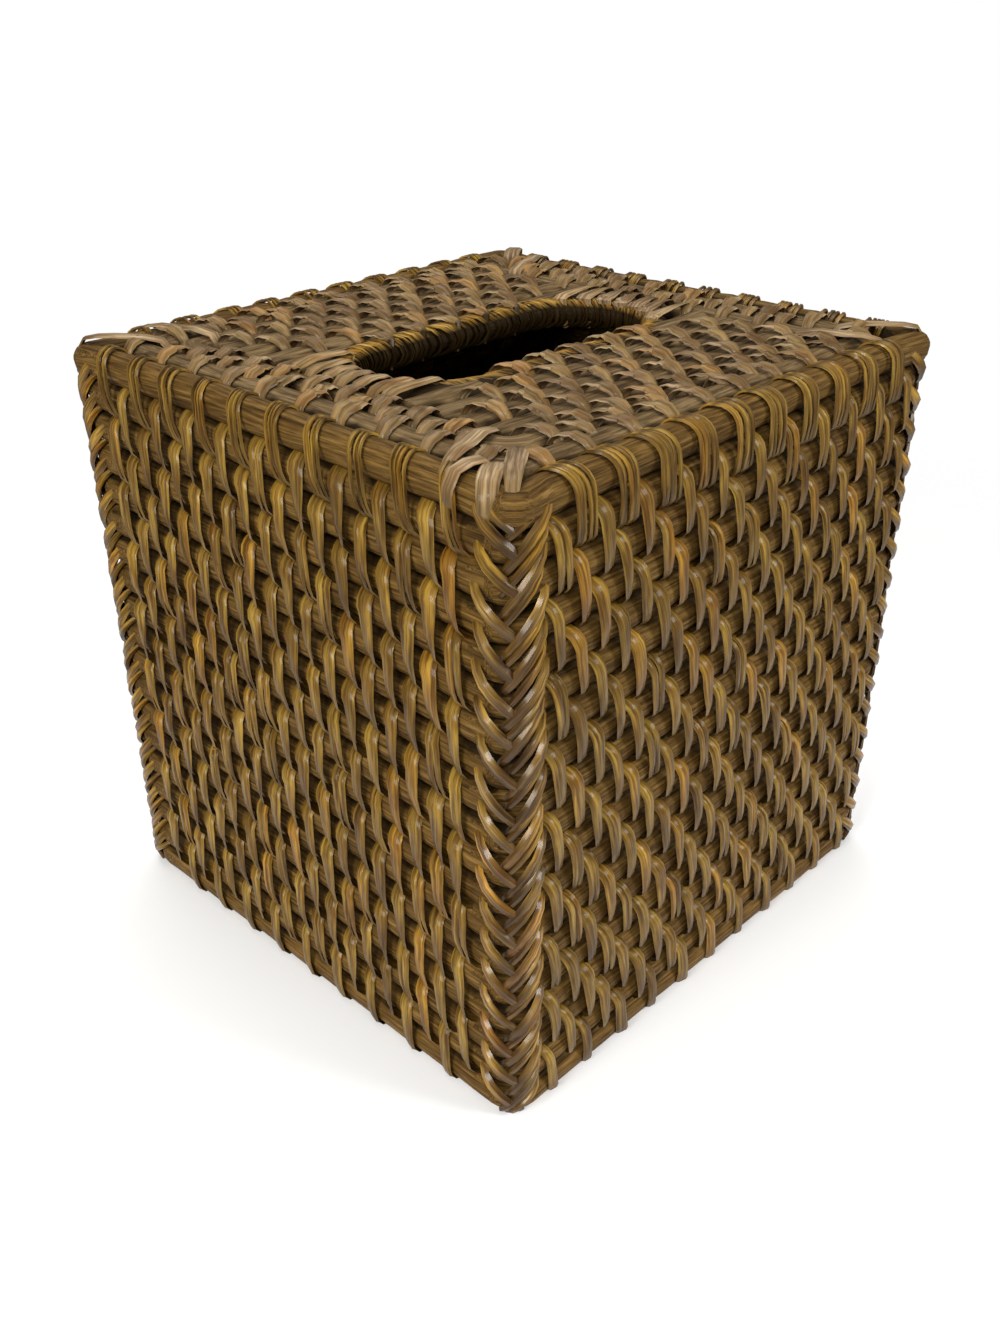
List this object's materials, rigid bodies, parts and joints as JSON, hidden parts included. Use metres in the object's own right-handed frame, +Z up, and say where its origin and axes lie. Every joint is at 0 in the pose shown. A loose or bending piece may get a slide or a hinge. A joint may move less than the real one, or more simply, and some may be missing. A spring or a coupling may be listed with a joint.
{
  "type": "tissue box cover",
  "caption": "Cube cover of lashed rattan rods, open below, with an oblong opening in the top for tissues.",
  "frame": {"origin": "middle of the underside, on the surface that the cover stands on", "axes": "+Z up, +X along the long way of the tissue opening, -Y towards the front wall"},
  "size_m": [0.144, 0.14, 0.1457],
  "materials": {
    "rattan_rod": "brown rattan rod with a satin varnish",
    "lashing_strip": "split rattan strip, golden brown, semi-gloss varnish",
    "top_strip": "split rattan strip, greyish brown, satin varnish",
    "edge_wrap": "thin split rattan strip, golden, semi-gloss varnish"
  },
  "bodies": {
    "root": {"top_rim": "rattan_rod", "top_ring_outer": "rattan_rod", "top_ring_inner": "rattan_rod", "top_front_rods": "rattan_rod", "top_back_rods": "rattan_rod", "mouth_infill_left": "rattan_rod", "mouth_infill_right": "rattan_rod", "opening_rim": "rattan_rod", "wall_course_01": "rattan_rod", "wall_course_02": "rattan_rod", "wall_course_03": "rattan_rod", "wall_course_04": "rattan_rod", "wall_course_05": "rattan_rod", "wall_course_06": "rattan_rod", "wall_course_07": "rattan_rod", "wall_course_08": "rattan_rod", "wall_course_09": "rattan_rod", "wall_course_10": "rattan_rod", "wall_course_11": "rattan_rod", "wall_course_12": "rattan_rod", "wall_course_13": "rattan_rod", "wall_course_14": "rattan_rod", "wall_course_15": "rattan_rod", "wall_course_16": "rattan_rod", "wall_course_17": "rattan_rod", "wall_course_18": "rattan_rod", "wall_lashing_01": "lashing_strip", "wall_lashing_02": "lashing_strip", "wall_lashing_03": "lashing_strip", "wall_lashing_04": "lashing_strip", "wall_lashing_05": "lashing_strip", "wall_lashing_06": "lashing_strip", "wall_lashing_07": "lashing_strip", "wall_lashing_08": "lashing_strip", "wall_lashing_09": "lashing_strip", "wall_lashing_10": "lashing_strip", "wall_lashing_11": "lashing_strip", "wall_lashing_12": "lashing_strip", "wall_lashing_13": "lashing_strip", "wall_lashing_14": "lashing_strip", "wall_lashing_15": "lashing_strip", "wall_lashing_16": "lashing_strip", "wall_lashing_17": "lashing_strip", "wall_lashing_18": "lashing_strip", "corner_lashing_front_left": "lashing_strip", "corner_lashing_front_right": "lashing_strip", "corner_lashing_back_left": "lashing_strip", "corner_lashing_back_right": "lashing_strip", "top_lashing_front": "top_strip", "top_lashing_back": "top_strip", "top_lashing_left": "top_strip", "top_lashing_right": "top_strip", "mitre_lashing_front_left": "top_strip", "mitre_lashing_front_right": "top_strip", "mitre_lashing_back_left": "top_strip", "mitre_lashing_back_right": "top_strip", "opening_wrap": "edge_wrap"}
  },
  "joints": []
}
